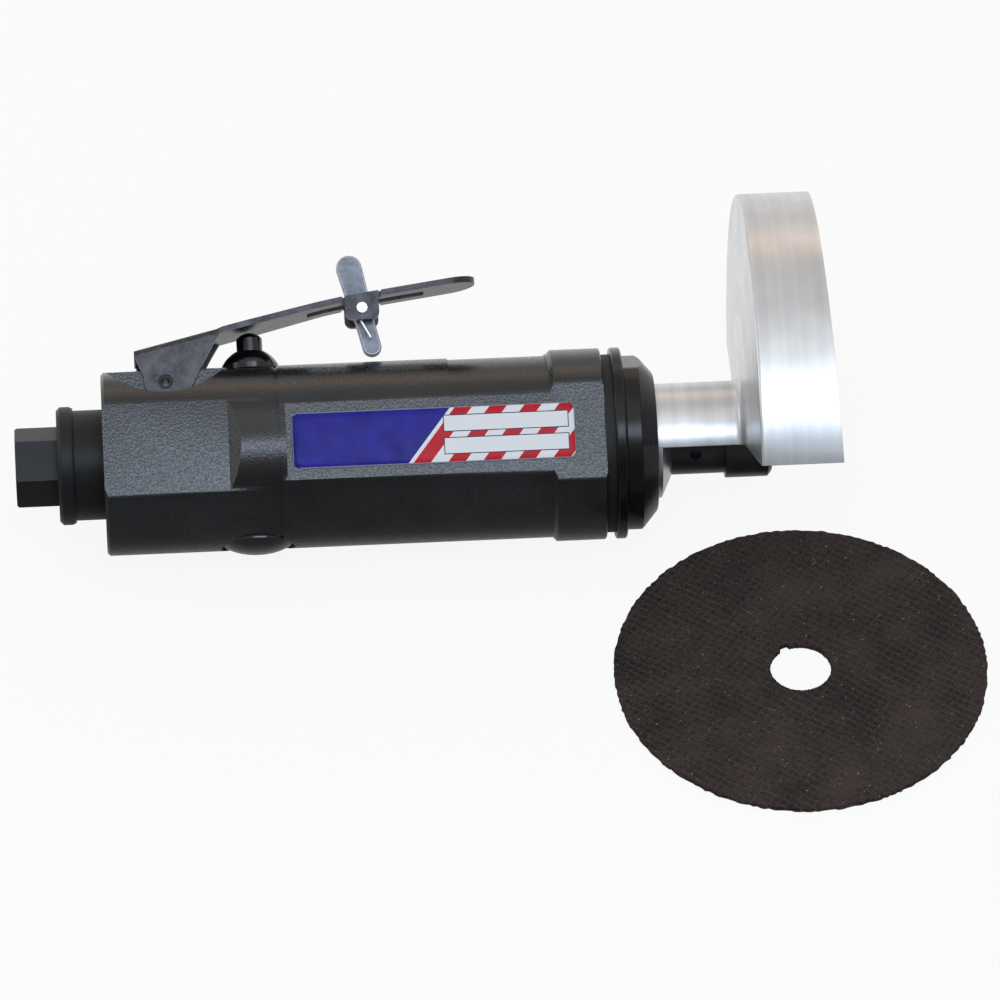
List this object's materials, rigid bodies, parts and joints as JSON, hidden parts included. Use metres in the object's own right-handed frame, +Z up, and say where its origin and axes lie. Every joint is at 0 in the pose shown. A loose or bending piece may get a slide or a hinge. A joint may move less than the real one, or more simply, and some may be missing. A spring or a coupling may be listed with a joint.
{
  "type": "pneumatic cut off tool",
  "caption": "Hand-held air-powered cut off tool with a throttle lever, a safety lock, a half-round wheel guard and a loose abrasive cutting wheel beside it.",
  "frame": {"origin": "on the spindle's axis at the face of the inner flange where the wheel seats", "axes": "+X along the spindle towards the wheel, +Z up from the bench that the tool lies on"},
  "size_m": [0.2608, 0.1803, 0.0926],
  "materials": {
    "wrinkle_black": "fine wrinkle black paint",
    "black_steel": "black oxide",
    "brass_mesh": "plain brass mesh",
    "black_plastic": "moulded black",
    "gloss_black": "glossy black",
    "seal_rubber": "plain black rubber",
    "spring_steel": "drawn spring wire",
    "lever_steel": "dark plated sheet steel",
    "bright_steel": "bright pin",
    "zinc_grey": "light grey cast zinc",
    "gloss_black_metal": "smooth black",
    "motor_iron": "machined",
    "bearing_steel": "ground",
    "rotor_steel": "ground",
    "vane_resin": "laminated resin",
    "guard_aluminium": "turned bright",
    "abrasive": "bonded grit with woven glass mesh",
    "label_blue": "domed printed plate without text"
  },
  "bodies": {
    "body": {"housing": "wrinkle_black", "inlet_bushing": "black_steel", "inlet_screen": "brass_mesh", "exhaust_deflector": "black_plastic", "valve_bushing": "gloss_black", "stem_seal": "seal_rubber", "valve_spring": "spring_steel", "valve_plug": "gloss_black", "plug_seal": "seal_rubber", "lever_pin": "black_steel", "nose_seal": "seal_rubber", "clamp_ring": "gloss_black_metal", "nose_cap": "gloss_black_metal", "rear_end_plate": "motor_iron", "rear_bearing": "bearing_steel", "motor_cylinder": "motor_iron", "front_end_plate": "motor_iron", "front_bearing": "bearing_steel", "wheel_guard": "guard_aluminium", "cutting_wheel": "abrasive", "name_plate": "label_blue"},
    "rotor": {"rotor": "rotor_steel", "rotor_vanes": "vane_resin", "spindle": "black_steel", "inner_flange": "black_steel"},
    "lever": {"throttle_lever": "lever_steel", "lock_pin": "bright_steel"},
    "lock": {"lock_lever": "zinc_grey", "lock_spring": "spring_steel"},
    "stem": {"valve_stem": "gloss_black"}
  },
  "joints": [
    {"name": "spindle_spin", "type": "hinge", "parent": "body", "child": "rotor", "pos_m": [0, 0, 0], "axis": [1, 0, 0], "continuous": true},
    {"name": "lever_press", "type": "hinge", "parent": "body", "child": "lever", "pos_m": [-0.1643, 0.01721, 0.01113], "axis": [0, 0.543, -0.8397], "range_deg": [0, 5.5], "stiffness_Nm_per_rad": 1},
    {"name": "stem_slide", "type": "slide", "parent": "body", "child": "stem", "axis": [0, -0.8397, -0.543], "range_m": [0, 0.0026], "deforming": ["valve_spring"]},
    {"name": "lock_fold", "type": "hinge", "parent": "lever", "child": "lock", "pos_m": [-0.1099, 0.03294, 0.0213], "axis": [0, 0.543, -0.8397], "range_deg": [0, 90]}
  ],
  "couplings": [
    {"joint": "stem_slide", "follows": "lever_press", "m_per_rad": 0.024688},
    {"joint": "lock_fold", "follows": "lever_press", "ratio": 16.364}
  ]
}
